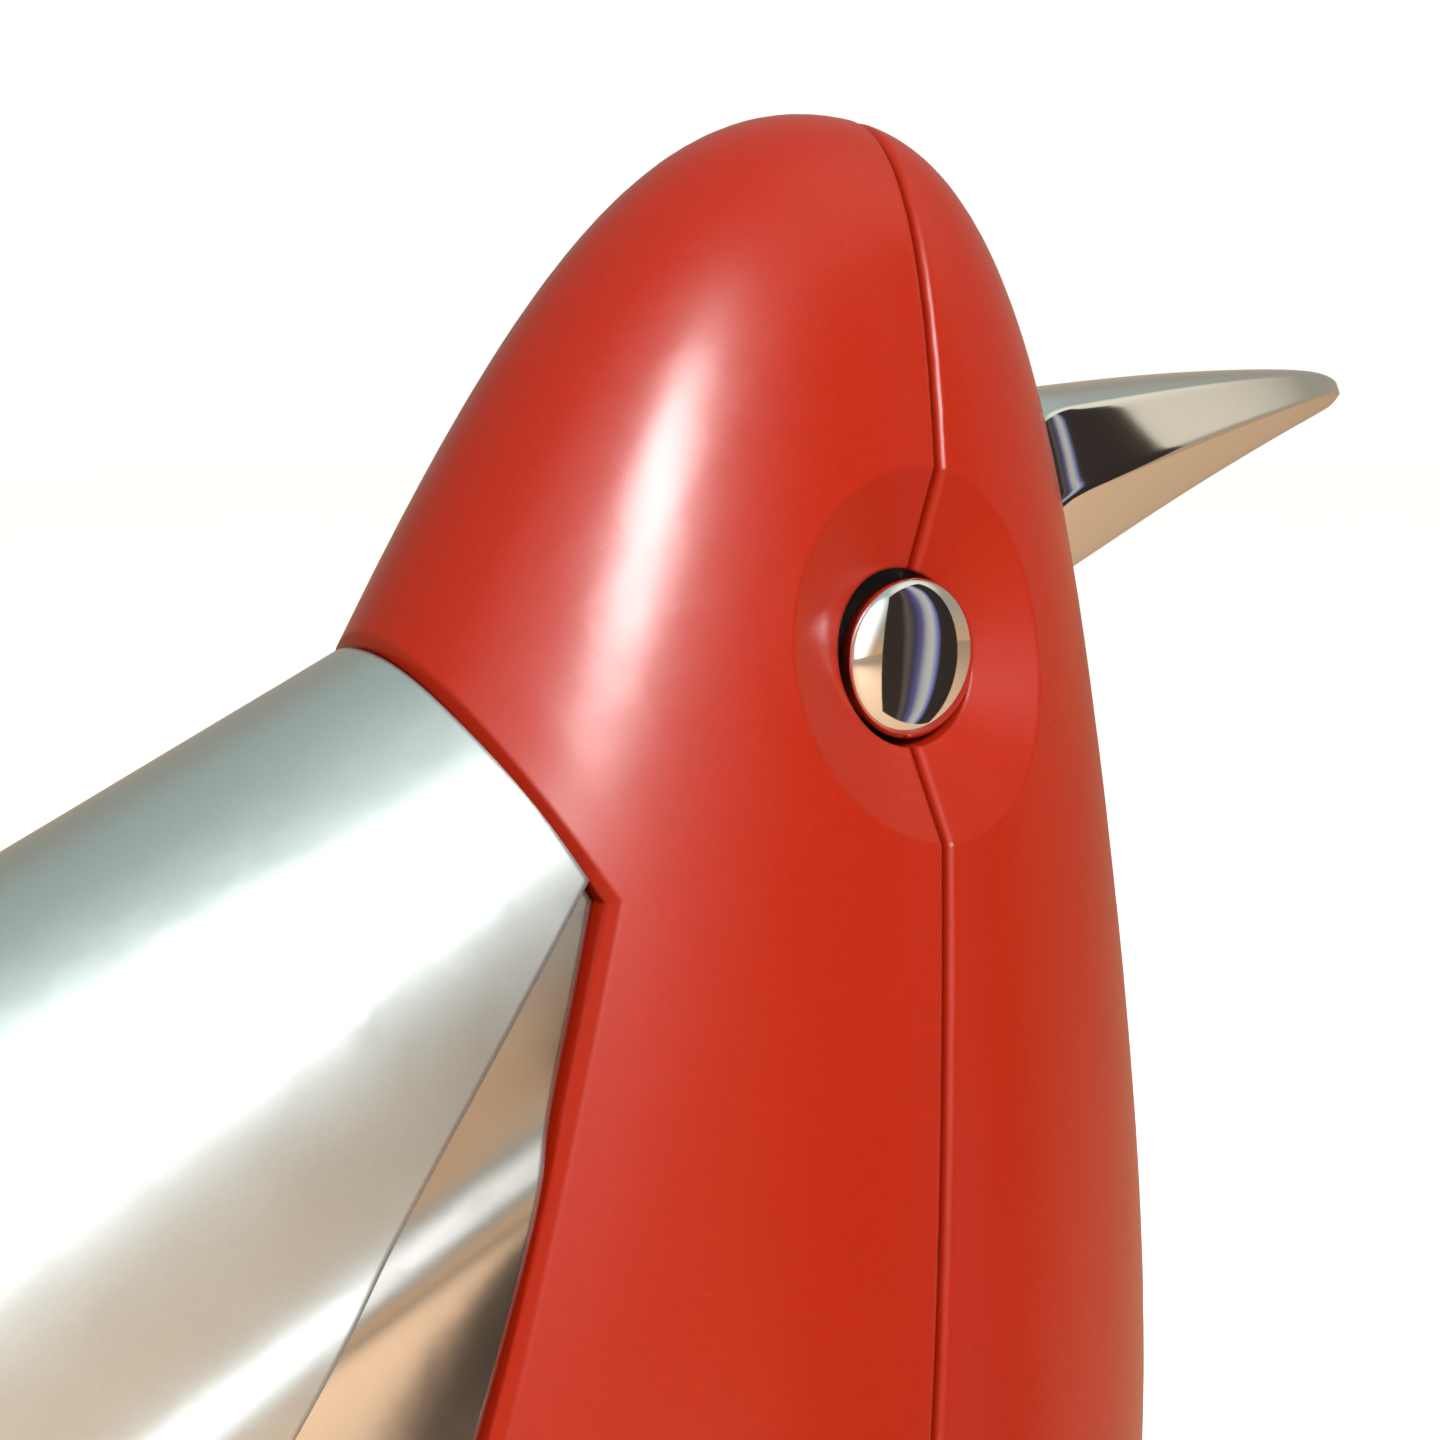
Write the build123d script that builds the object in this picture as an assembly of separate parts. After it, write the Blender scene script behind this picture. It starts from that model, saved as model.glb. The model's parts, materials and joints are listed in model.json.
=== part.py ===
from build123d import *
import os
from math import asin, atan2, cos, degrees, radians, sin

os.makedirs("parts", exist_ok=True)

# A dipping bird desk toy: a rigid two-shell bird rocks on an axle between two legs,
# and a coil in the battery-powered base keeps it going.
# All sizes are in millimetres. The row frame has +X where the beak points, +Z up,
# and its origin on the table under the axle.

# Bird body, in the bird's own frame: apex at the origin, +Z up the body's own axis
body_height = 123.0
body_half_width = 22.7
front_half_length = 32.9
back_half_length = 41.1
widest_depth = 92.0
shoulder_controls = [(0.573, 0.0), (0.596, 0.423), (1.0, 0.602)]
shell_wall = 2.0
seam_gap = 0.3
seam_round = 0.45
pivot_depth = 80.0
pivot_x = -4.5
rest_lean = 8.6

# Eyes: a chrome button in a hole, in a shallow oval dish on each flank
eye_x = -0.6
eye_depth = 30.0
eye_dish_half_length = 11.8
eye_dish_half_height = 10.7
eye_dish_floor_radius = 4.9
eye_dish_depth = 2.6
eye_dish_tilt = 12.4
eye_pad_radius = 13.0
eye_pad_thickness = 2.2
eye_hole_radius = 4.8
eye_button_radius = 4.37
eye_button_proud = 1.65
eye_button_dome = 1.1
eye_cup_radius = 7.4
eye_cup_thickness = 1.6
tie_rod_radius = 1.5
tie_rod_end = 1.6

# Beak: length along X at four stations, with its top, bottom and half width there
beak_stations = [
    (12.0, -14.2, -30.0, 6.3),
    (24.0, -11.3, -23.4, 5.2),
    (36.0, -8.9, -16.4, 3.7),
    (44.4, -7.9, -11.4, 2.0),
    (46.2, -8.5, -10.2, 0.9),
]
beak_keel_share = 0.35
beak_wall = 1.1
beak_edge_round = 0.42
beak_hole_gap = 0.35
tang_half_width = 3.0
tang_top_depth = 15.5
tang_bottom_depth = 26.5
tang_screw_inset = 2.5

# Tail: a silver wing cover over a chrome core, set into the back of the body
spine_root_x = -27.3
spine_root_depth = 32.8
spine_slope = 33.6
tail_corner_x = -19.5
tail_corner_depth = 43.5
tail_front_foot_x = -29.3
tail_floor_depth = 93.0
tail_back_foot_x = -67.0
tail_tip_x = -77.0
tail_tip_depth = 68.0
tail_foot_round = 9.0
tail_tip_round = 9.0
arch_half_width = 17.0
arch_height = 36.0
arch_curve = [(7.2, 3.0), (12.6, 10.0), (15.2, 20.0)]
cover_edge_slope = 60.0
cover_edge_inset = 1.5
cover_wall = 1.1
core_wall = 0.9
core_rim_depth = 12.0
tail_gap = 0.4
tail_lip = 0.5
tail_fit = 0.15
cover_screw_xs = (-47.0, -55.0)
tail_screw_depths = (52.0, 69.0)

# Frame inside the body
frame_clearance = 0.3
frame_rim_wall = 1.5
frame_rim_half_length = 3.5
web_half_thickness = 1.0
shelf_depth = 88.5
shelf_thickness = 2.5
shelf_front_x = 20.0
shelf_back_x = -13.0
window_depth = 43.0
window_width = 9.0
window_height = 12.0
axle_boss_radius = 4.0
axle_boss_relief = 1.2
rod_boss_radius = 3.2
front_boss_spots = [(9.0, 48.0), (13.0, 72.0)]
rear_tab_spots = [(12.0, 56.0), (13.5, 76.0)]
rear_tab_x = -15.0
rear_tab_thickness = 2.0
rear_tab_half_height = 4.0
rear_tab_play = 0.3
boss_radius = 3.0

# Weight and magnet at the bottom of the body
bob_clearance = 0.4
bob_front_x = 30.0
bob_back_x = -6.2
bob_screw_xs = (6.0, 16.0)
magnet_radius = 5.0
magnet_height = 3.0
magnet_x = -0.5
magnet_lift = 1.0

# Axle, collars and stop
axle_radius = 1.5
axle_fit = 0.05
axle_hole_radius = 2.5
collar_radius = 7.0
collar_thickness = 2.6
collar_body_gap = 0.5
collar_leg_gap = 0.9
swing_forward = 62.0
swing_back = 12.0
stop_pin_radius = 0.8
stop_pin_orbit = 5.4
stop_play = 0.6

# Legs
swing_gap = 10.0
leg_thickness = 5.0
leg_head_radius = 7.0
leg_foot_half_length = 13.0
leg_pocket = 1.5
bush_radius = 3.2
bush_flange_radius = 4.4
bush_flange_thickness = 0.5
cap_radius = 5.6
cap_height = 2.6
cap_hollow_radius = 3.6
cap_hollow_depth = 1.4
axle_end_gap = 0.5

# Base
base_half_length = 62.0
base_half_width = 43.0
base_height = 24.0
base_wall = 2.4
base_top = 2.6
base_edge_round = 5.0
pad_thickness = 2.0
pad_inset = 8.0
cover_plate_thickness = 2.0
ballast_thickness = 3.0
ballast_inset = 11.0
trim_height = 4.0
trim_thickness = 1.4
trim_proud = 0.4
base_fit = 0.2
base_boss_radius = 3.4
base_boss_x = 38.0
base_boss_y = 25.5

# Screws
screw_radius = 1.1
screw_head_radius = 2.1
screw_head_height = 1.5
screw_head_room = 0.4
screw_head_sink = 0.9
screw_fit = 0.05
screw_length = 9.0
base_screw_length = 10.5
leg_screw_radius = 1.6
leg_screw_head_radius = 2.9
leg_screw_head_height = 2.0
leg_screw_length = 11.0
leg_screw_offset = 7.0

# Battery tray, two AAA cells
cell_radius = 5.25
cell_length = 44.5
cell_cap_radius = 1.9
cell_cap_height = 0.8
cell_gap = 0.6
tray_wall = 1.2
tray_floor_height = 8.5
tray_play = 0.35
contact_thickness = 0.5
contact_spring = 1.2
tray_travel = 40.0
tray_face_thickness = 2.4
tray_pull_half_width = 8.0
tray_pull_height = 3.0
tray_pull_depth = 1.2

# Coil, board and switch
coil_x = 2.0
core_radius = 2.5
bobbin_radius = 9.0
bobbin_flange = 1.0
bobbin_wall = 1.0
bobbin_bottom_height = 8.0
winding_radius = 8.2
winding_gap = 0.1
board_back_x = 15.0
board_front_x = 47.0
board_half_width = 17.0
board_height = 9.5
board_thickness = 1.6
board_post_radius = 2.6
board_spot_inset = 3.5
chip_x = 27.0
chip_size = (6.0, 5.0, 2.2)
can_radius = 3.1
can_height = 7.0
resistor_radius = 1.2
resistor_length = 6.5
film_size = (2.0, 5.0, 4.5)
switch_x = 40.0
switch_body_length = 6.0
switch_body_width = 13.0
switch_knob_length = 4.0
switch_knob_width = 5.0
switch_travel = 4.0
switch_knob_proud = 1.4
switch_play = 0.3
switch_top_gap = 1.2
switch_well_depth = 3.0
switch_stem_step = 1.0

# Values worked out from the sizes above
pivot_height = base_height + swing_gap + body_height - pivot_depth
leaning = Location((0, 0, pivot_height), (0, rest_lean, 0))
pivot = leaning * Location((-pivot_x, 0, pivot_depth))
side_reach = (-2 * body_half_width, 2 * body_half_width)
height_reach = (-body_height - 10, 10)
length_reach = back_half_length + front_half_length
tail_reach = body_height
spine_dir = Vector(-cos(radians(spine_slope)), 0, -sin(radians(spine_slope)))
spine_root = Vector(spine_root_x, 0, -spine_root_depth)
leg_inner_y = body_half_width + collar_body_gap + collar_thickness + collar_leg_gap
leg_outer_y = leg_inner_y + leg_thickness
tang_screw_zs = (-tang_top_depth - tang_screw_inset, -tang_bottom_depth + tang_screw_inset)


def block(x, y, z):
    # a box between two limits on each axis
    size = Box(x[1] - x[0], y[1] - y[0], z[1] - z[0])
    return Location(((x[0] + x[1]) / 2, (y[0] + y[1]) / 2, (z[0] + z[1]) / 2)) * size


def rod(start, direction, length, radius):
    # a cylinder from a point, along a direction
    disc = Plane(origin=start, z_dir=direction) * Circle(radius)
    return extrude(disc, length)


def screw(head_seat, direction, length, radius, head_radius, head_height):
    # a pan-head screw whose head sits on a seat and whose shank goes along the direction
    way = Vector(*direction).normalized()
    seat = Vector(*head_seat)
    head = rod(seat - way * head_height, way, head_height, head_radius)
    socket = Plane(origin=seat - way * head_height, z_dir=way) * RegularPolygon(head_radius * 0.5, 6)
    return head + rod(seat, way, length, radius) - extrude(socket, head_height * 0.5)


def small_screw(head_seat, direction, length=screw_length):
    return screw(head_seat, direction, length, screw_radius, screw_head_radius, screw_head_height)


def both_sides(shape):
    return [shape, mirror(shape, Plane.XZ)]


def upper_curve(wall):
    width = body_half_width - wall
    fall = widest_depth - wall
    controls = [(width * share, -wall - fall * drop) for share, drop in shoulder_controls]
    return Bezier((0, -wall), *controls, (width, -widest_depth))


def half_form(wall, half_length):
    # half of the body's egg, inset by a wall, from the seam plane towards one end
    width = body_half_width - wall
    bottom = body_height - wall
    upper = upper_curve(wall)
    lower = EllipticalCenterArc((0, -widest_depth), width, bottom - widest_depth, 270, arc_size=90)
    axis_line = Line((0, -bottom), (0, -wall))
    face = Plane.YZ * make_face([upper, lower, axis_line])
    turned = revolve(face, Axis.Z, 180)
    back = scale(turned, by=((abs(half_length) - wall) / width, 1, 1))
    return back if half_length < 0 else mirror(back, Plane.YZ)


def body_form(wall):
    return half_form(wall, front_half_length) + half_form(wall, -back_half_length)


def half_width_at(depth, wall=0.0):
    # half width of the body, inset by a wall, at a depth above its widest level
    curve = upper_curve(wall)
    low, high = 0.0, 1.0
    for _ in range(30):
        middle = (low + high) / 2
        if -(curve @ middle).Y < depth:
            low = middle
        else:
            high = middle
    return (curve @ low).X


def ellipse_prism(inset, low, high):
    face = Ellipse(base_half_length - inset, base_half_width - inset)
    return Location((0, 0, low)) * extrude(face, high - low)


def tail_arch(grow):
    # a long bar with the arched cross-section of the tail, along its spine, grown by a gap
    half_width = arch_half_width + grow
    points = [(x * half_width / arch_half_width, y - grow * (1 - y / arch_height)) for x, y in arch_curve]
    curve = Spline([(0, -grow)] + points + [(half_width, arch_height)], tangents=[(1, 0), (0, 1)])
    deep = 3 * arch_height
    half = curve + Line((half_width, arch_height), (half_width, deep))
    foot = Line((-half_width, deep), (half_width, deep))
    section = make_face(half + mirror(half, Plane.YZ) + foot)
    start = spine_root - spine_dir * (tail_reach / 4)
    return extrude(Plane(origin=start, x_dir=(0, 1, 0), z_dir=spine_dir) * section, 1.3 * tail_reach)


def tail_side(front=0.0, floor=0.0, back=0.0):
    # the tail's side outline as a slab, inset at its front, its floor and its back end
    slope = Vector(spine_root_x - tail_corner_x, 0, tail_corner_depth - spine_root_depth) * 1.05
    front_lean = (tail_front_foot_x - tail_corner_x) / (tail_floor_depth - tail_corner_depth)
    back_lean = (tail_back_foot_x - tail_tip_x) / (tail_floor_depth - tail_tip_depth)
    foot = (tail_back_foot_x + back - back_lean * floor, -tail_floor_depth + floor)
    tip = (tail_tip_x + back, -tail_tip_depth)
    corners = [
        (spine_root_x + slope.X - front, -spine_root_depth + slope.Z),
        (tail_corner_x - front, -tail_corner_depth),
        (tail_front_foot_x - front - front_lean * floor, -tail_floor_depth + floor),
        foot,
        tip,
        (tail_tip_x + back + tail_tip_round, -spine_root_depth),
    ]
    outline = make_face(Polyline(*corners, close=True))
    for corner, radius in ((foot, tail_foot_round - back), (tip, tail_tip_round - back)):
        nearest = outline.vertices().sort_by_distance(Vector(*corner))[0]
        outline = fillet(nearest, radius)
    return extrude(Plane.XZ * outline, 2 * arch_half_width, both=True)


def tail_module(grow=0.0):
    # the whole outside of the tail, grown evenly by a gap
    return tail_arch(grow) & tail_side(-grow, -grow, -grow)


def beak_form(grow=0.0, stations=beak_stations):
    # the beak as a loft through keeled sections, grown by a gap
    sections = []
    for x, top, bottom, half in stations:
        low = beak_keel_share * half + grow
        wide = half + grow
        high = top + grow
        corners = [(-wide, high), (wide, high), (low, bottom - grow), (-low, bottom - grow)]
        outline = make_face(Polyline(*corners, close=True))
        rounded = fillet(outline.vertices(), beak_edge_round * low)
        sections.append(Plane.YZ.offset(x) * rounded)
    return loft(sections, ruled=True)


outer_form = body_form(0)
inner_form = body_form(shell_wall)
eye_floor_y = half_width_at(eye_depth) - eye_dish_depth
eye_pad_y = eye_floor_y - eye_pad_thickness
eye_cup_y = eye_pad_y - eye_cup_thickness


# Shells: two halves parted on the plane through both eyes
def eye_dish():
    # a shallow oval cone, carried on past the body's surface
    share = 1.5
    rim = Ellipse(
        eye_dish_floor_radius + share * (eye_dish_half_length - eye_dish_floor_radius),
        eye_dish_floor_radius + share * (eye_dish_half_height - eye_dish_floor_radius),
    )
    floor = Plane(origin=(0, 0, 0), x_dir=(1, 0, 0), z_dir=(0, 1, 0))
    inner = floor * Circle(eye_dish_floor_radius)
    cone = loft([inner, floor.offset(share * eye_dish_depth) * rim], ruled=True)
    return Location((eye_x, eye_floor_y, -eye_depth), (eye_dish_tilt, 0, 0)) * cone


def outer_half(side):
    # one half of the outside with its dishes cut and its seam edge rounded
    edge_x = side * seam_gap / 2
    span = (min(edge_x, side * length_reach), max(edge_x, side * length_reach))
    half = outer_form & block(span, side_reach, height_reach)
    for dish in both_sides(eye_dish()):
        half -= dish
    seam_edges = half.edges().filter_by_position(Axis.X, edge_x - 0.01, edge_x + 0.01)
    return fillet(seam_edges, seam_round)


def make_hollow():
    # what is taken out of the shells: the inside, with solid pads kept round the eyes, and the through holes
    hollow = inner_form
    for side in (1, -1):
        outward = (0, side, 0)
        hollow -= rod((eye_x, side * eye_pad_y, -eye_depth), outward, body_half_width, eye_pad_radius)
    for side in (1, -1):
        outward = (0, side, 0)
        hollow += rod((eye_x, side * eye_cup_y, -eye_depth), outward, body_half_width, eye_hole_radius)
    side_low, side_high = side_reach
    return hollow + rod((pivot_x, side_low, -pivot_depth), (0, 1, 0), side_high - side_low, axle_hole_radius)


def make_shells():
    hollow = make_hollow()
    front_outside = outer_half(1)
    front = front_outside - hollow
    for y, depth in front_boss_spots:
        for side in (1, -1):
            start = (web_half_thickness, side * y, -depth)
            boss = rod(start, (1, 0, 0), front_half_length, boss_radius)
            pilot = rod(start, (1, 0, 0), screw_length, screw_radius + screw_fit)
            front = front + (boss & front_outside) - pilot
    front -= beak_form(beak_hole_gap)
    rear_outside = outer_half(-1)
    rear_outside -= tail_module(tail_gap)
    behind = rear_outside.edges().filter_by_position(Axis.X, -back_half_length, tail_corner_x + 1)
    above = behind.filter_by_position(Axis.Z, -widest_depth - 0.01, 0)
    lip = [edge for edge in above if edge.length > arch_height]
    rear_outside = chamfer(lip, tail_lip)
    rear = rear_outside - hollow
    for y, depth in rear_tab_spots:
        for side in (1, -1):
            inner_edge = side * (y - boss_radius)
            outer_edge = side * body_half_width
            reach = (min(inner_edge, outer_edge), max(inner_edge, outer_edge))
            levels = (-depth - rear_tab_half_height, -depth + rear_tab_half_height)
            tab = block((rear_tab_x - rear_tab_thickness, rear_tab_x), reach, levels) & rear_outside
            hole = rod((rear_tab_x + 1, side * y, -depth), (-1, 0, 0), 5, screw_radius + screw_fit)
            rear = rear + tab - hole
    return front, rear


front_shell, rear_shell = make_shells()


# Beak with the tang that screws to the frame
def make_beak():
    beak = beak_form() - beak_form(-beak_wall, beak_stations[:3])
    base_x = beak_stations[0][0]
    levels = (-tang_bottom_depth, -tang_top_depth)
    beak += block((web_half_thickness, base_x), (-tang_half_width, tang_half_width), levels)
    pilot_length = screw_length - 2 * web_half_thickness
    for z in tang_screw_zs:
        beak -= rod((web_half_thickness, 0, z), (1, 0, 0), pilot_length, screw_radius + screw_fit)
    return beak


beak = make_beak()


# Frame: a rim along the seam, a web across it, bosses and a shelf for the weight
tail_wall_tilt = atan2(tail_corner_x - tail_front_foot_x, tail_floor_depth - tail_corner_depth)
tail_screw_dir = Vector(cos(tail_wall_tilt), 0, -sin(tail_wall_tilt))


def tail_wall_point(depth):
    # the point on the middle of the tail's front wall at a depth
    share = (depth - tail_corner_depth) / (tail_floor_depth - tail_corner_depth)
    return Vector(tail_corner_x + share * (tail_front_foot_x - tail_corner_x), 0, -depth)


def frame_solid():
    fit = shell_wall + frame_clearance
    outside = body_form(fit)
    shelf_bottom = -shelf_depth - shelf_thickness
    rim = outside - body_form(fit + frame_rim_wall)
    frame = rim & block((-frame_rim_half_length, frame_rim_half_length), side_reach, height_reach)
    frame += outside & block((-web_half_thickness, web_half_thickness), side_reach, height_reach)
    frame += outside & block((shelf_back_x, shelf_front_x), side_reach, (shelf_bottom, -shelf_depth))
    frame -= Location((0, 0, -window_depth)) * Box(2 * frame_rim_half_length, window_width, window_height)
    frame -= block((-length_reach, length_reach), side_reach, (height_reach[0], shelf_bottom))
    frame += rod((eye_x, -eye_cup_y, -eye_depth), (0, 1, 0), 2 * eye_cup_y, rod_boss_radius)
    axle_boss_y = half_width_at(pivot_depth, shell_wall) - axle_boss_relief
    frame += rod((pivot_x, -axle_boss_y, -pivot_depth), (0, 1, 0), 2 * axle_boss_y, axle_boss_radius)
    for y, depth in rear_tab_spots:
        for side in (1, -1):
            frame += rod((0, side * y, -depth), (-1, 0, 0), -rear_tab_x, boss_radius)
    behind_web = block((-length_reach, 0), (-3 * boss_radius, 3 * boss_radius), height_reach)
    for depth in tail_screw_depths:
        frame += rod(tail_wall_point(depth), tail_screw_dir, length_reach, boss_radius) & behind_web
    return frame - (tail_arch(tail_fit) & tail_side(-0.01, 0, 0))


def frame_cuts():
    # the holes for the axle, the tie rod and the screws, and the room for the shells' tabs and the eye pads
    side_low, side_high = side_reach
    width = side_high - side_low
    hole = screw_radius + screw_fit
    room = screw_head_radius + screw_head_room
    back_x = -3 * boss_radius
    cuts = [
        rod((pivot_x, side_low, -pivot_depth), (0, 1, 0), width, axle_radius),
        rod((eye_x, side_low, -eye_depth), (0, 1, 0), width, tie_rod_radius),
    ]
    for side in (1, -1):
        outward = (0, side, 0)
        pad_room = eye_pad_radius + frame_clearance
        cuts.append(rod((eye_x, side * eye_cup_y, -eye_depth), outward, body_half_width, pad_room))
        for y, depth in front_boss_spots:
            cuts.append(rod((back_x, side * y, -depth), (1, 0, 0), 2 * screw_length, hole))
            cuts.append(rod((back_x, side * y, -depth), (1, 0, 0), -back_x - web_half_thickness, room))
        for y, depth in rear_tab_spots:
            cuts.append(rod((rear_tab_x - 1, side * y, -depth), (1, 0, 0), screw_length + 1, hole))
            half_height = rear_tab_half_height + rear_tab_play
            sides = (side * y - 2 * boss_radius, side * y + 2 * boss_radius)
            levels = (-depth - half_height, -depth + half_height)
            cuts.append(block((rear_tab_x - 2 * rear_tab_thickness, rear_tab_x), sides, levels))
    for depth in tail_screw_depths:
        cuts.append(rod(tail_wall_point(depth), tail_screw_dir, screw_length, hole))
    for z in tang_screw_zs:
        cuts.append(rod((back_x, 0, z), (1, 0, 0), 2 * screw_length, hole))
    for x in bob_screw_xs:
        cuts.append(rod((x, 0, -body_height), (0, 0, 1), body_height - pivot_depth, hole))
    return cuts


inner_frame = frame_solid()
for cut in frame_cuts():
    inner_frame -= cut


# Tail: core tray, wing cover and their screws
def make_tail():
    module = tail_module()
    inner_arch = tail_arch(-cover_wall)
    foot_x = tail_corner_x - cover_edge_inset
    edge_dir = Vector(-cos(radians(cover_edge_slope)), 0, -sin(radians(cover_edge_slope)))
    edge_start = Vector(foot_x, 0, -tail_corner_depth) - edge_dir * (tail_reach / 3)
    edge_plane = Plane(origin=edge_start, x_dir=edge_dir, z_dir=(0, 1, 0))
    reach = (tail_reach, tail_reach, tail_reach)
    below_edge = edge_plane * Location((tail_reach / 2, -tail_reach / 2, 0)) * Box(*reach)
    far_side = tail_side(-arch_half_width, -arch_half_width, cover_wall)
    cover = module - (inner_arch & far_side) - below_edge
    core_arch = tail_arch(-cover_wall - tail_fit)
    hollow_arch = tail_arch(-cover_wall - tail_fit - core_wall)
    rim_cut = Plane(origin=spine_root - Vector(0, 0, core_rim_depth), x_dir=spine_dir, z_dir=(0, 1, 0))
    above_rim = rim_cut * Location((0, tail_reach / 2, 0)) * Box(2 * tail_reach, tail_reach, tail_reach)
    core = core_arch & tail_side(0, 0, cover_wall + tail_fit)
    core -= hollow_arch & tail_side(core_wall, core_wall, cover_wall + tail_fit + core_wall)
    core -= above_rim
    for x in cover_screw_xs:
        cover += rod((x, 0, -tail_floor_depth + core_wall), (0, 0, 1), tail_reach, boss_radius) & module
        cover -= rod((x, 0, -tail_floor_depth), (0, 0, 1), screw_length, screw_radius + screw_fit)
        core -= rod((x, 0, -tail_floor_depth - 1), (0, 0, 1), 5 * core_wall, screw_radius + screw_fit)
    for depth in tail_screw_depths:
        start = tail_wall_point(depth) - tail_screw_dir * 3
        core -= rod(start, tail_screw_dir, 6, screw_radius + screw_fit)
    return cover, core


wing_cover, tail_core = make_tail()


# Screws inside the bird
def make_bird_screws():
    frame_screws = [
        small_screw((-web_half_thickness, side * y, -depth), (1, 0, 0))
        for y, depth in front_boss_spots
        for side in (1, -1)
    ]
    shell_screws = [
        small_screw((rear_tab_x - rear_tab_thickness, side * y, -depth), (1, 0, 0))
        for y, depth in rear_tab_spots
        for side in (1, -1)
    ]
    tail_screws = [
        small_screw(tail_wall_point(depth) - tail_screw_dir * (core_wall + tail_fit), tail_screw_dir)
        for depth in tail_screw_depths
    ]
    cover_screws = [small_screw((x, 0, -tail_floor_depth), (0, 0, 1)) for x in cover_screw_xs]
    beak_screws = [small_screw((-web_half_thickness, 0, z), (1, 0, 0)) for z in tang_screw_zs]
    bob_screws = [small_screw((x, 0, -shelf_depth), (0, 0, -1)) for x in bob_screw_xs]
    return frame_screws, shell_screws, tail_screws, cover_screws, beak_screws, bob_screws


# Eyes: buttons on the ends of a tie rod, each in a cup
def make_eye(side):
    outward = (0, side, 0)
    cup_start = (eye_x, side * eye_cup_y, -eye_depth)
    cup = rod(cup_start, outward, eye_cup_thickness, eye_cup_radius)
    cup -= rod(cup_start, outward, eye_cup_thickness, tie_rod_radius)
    flat = eye_floor_y + eye_button_proud - eye_button_dome
    button = rod((eye_x, side * eye_pad_y, -eye_depth), outward, flat - eye_pad_y, eye_button_radius)
    ball_radius = (eye_button_radius**2 + eye_button_dome**2) / (2 * eye_button_dome)
    ball = Location((eye_x, side * (flat + eye_button_dome - ball_radius), -eye_depth)) * Sphere(ball_radius)
    cap = rod((eye_x, side * flat, -eye_depth), outward, 2 * eye_button_dome, eye_button_radius) & ball
    bore = rod((eye_x, 0, -eye_depth), outward, eye_pad_y + tie_rod_end, tie_rod_radius)
    return button + cap - bore, cup


# Weight in the bottom of the body, hung from the frame's shelf, with the drive magnet in it
def make_bob():
    top = -shelf_depth - shelf_thickness
    room = block((bob_back_x, bob_front_x), side_reach, (height_reach[0], top))
    bob = body_form(shell_wall + bob_clearance) & room
    for x in bob_screw_xs:
        bob -= rod((x, 0, top), (0, 0, -1), screw_length - shelf_thickness, screw_radius + screw_fit)
    magnet_top = -body_height + shell_wall + bob_clearance + magnet_lift + magnet_height
    bob -= rod((magnet_x, 0, magnet_top), (0, 0, -1), 3 * magnet_height, magnet_radius)
    magnet = rod((magnet_x, 0, magnet_top), (0, 0, -1), magnet_height, magnet_radius)
    return bob, magnet


# Axle with a stop collar on the right and a plain one on the left
def make_collars():
    start_y = half_width_at(pivot_depth) + collar_body_gap
    side_low, side_high = side_reach
    middle = (pivot_x, side_low, -pivot_depth)
    width = side_high - side_low
    plain = rod((pivot_x, start_y, -pivot_depth), (0, 1, 0), collar_thickness, collar_radius)
    bore = rod(middle, (0, 1, 0), width, axle_radius)
    ring = rod(middle, (0, 1, 0), width, 2 * collar_radius)
    ring -= rod(middle, (0, 1, 0), width, stop_pin_orbit - stop_pin_radius - stop_play / 2)
    # the pin stands straight below the axle; the notch opens to both sides by the swing
    sweep = degrees(asin((stop_pin_radius + stop_play / 2) / stop_pin_orbit))
    first = rest_lean + swing_forward + sweep
    last = rest_lean - swing_back - sweep
    corners = [(0, 0)]
    steps = 6
    for step in range(steps + 1):
        angle = radians(last + (first - last) * step / steps)
        corners.append((3 * collar_radius * sin(angle), -3 * collar_radius * cos(angle)))
    wedge = extrude(Plane.XZ * make_face(Polyline(*corners, close=True)), width, both=True)
    notch = ring & (Location((pivot_x, 0, -pivot_depth)) * wedge)
    return plain - bore, mirror(plain, Plane.XZ) - bore - notch


eye_button_left, eye_cup_left = make_eye(1)
eye_button_right, eye_cup_right = make_eye(-1)
tie_rod_end_y = eye_pad_y + tie_rod_end
tie_rod = rod((eye_x, -tie_rod_end_y, -eye_depth), (0, 1, 0), 2 * tie_rod_end_y, tie_rod_radius)
frame_screws, shell_screws, tail_screws, cover_screws, beak_screws, bob_screws = make_bird_screws()
bob_weight, drive_magnet = make_bob()
plain_collar, stop_collar = make_collars()
axle_end_y = leg_outer_y + cap_hollow_depth - axle_end_gap
axle = rod((pivot_x, -axle_end_y, -pivot_depth), (0, 1, 0), 2 * axle_end_y, axle_radius)


# Stand: legs, bushes, caps and the stop pin
def make_leg():
    foot_z = base_height - leg_pocket
    head = Location((0, pivot_height, 0)) * Circle(leg_head_radius)
    foot = Polyline(
        (-leg_foot_half_length, foot_z), (leg_foot_half_length, foot_z),
        (leg_head_radius, pivot_height), (-leg_head_radius, pivot_height), close=True,
    )
    face = head + make_face(foot)
    leg = Location((0, leg_outer_y, 0)) * extrude(Plane.XZ * face, leg_thickness)
    leg -= rod((0, leg_inner_y, pivot_height), (0, 1, 0), leg_thickness, bush_radius)
    for x in (-leg_screw_offset, leg_screw_offset):
        depth = leg_screw_length - base_top + leg_pocket + 1
        leg -= rod((x, leg_middle_y, foot_z), (0, 0, 1), depth, leg_screw_radius + screw_fit)
    return leg


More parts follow.
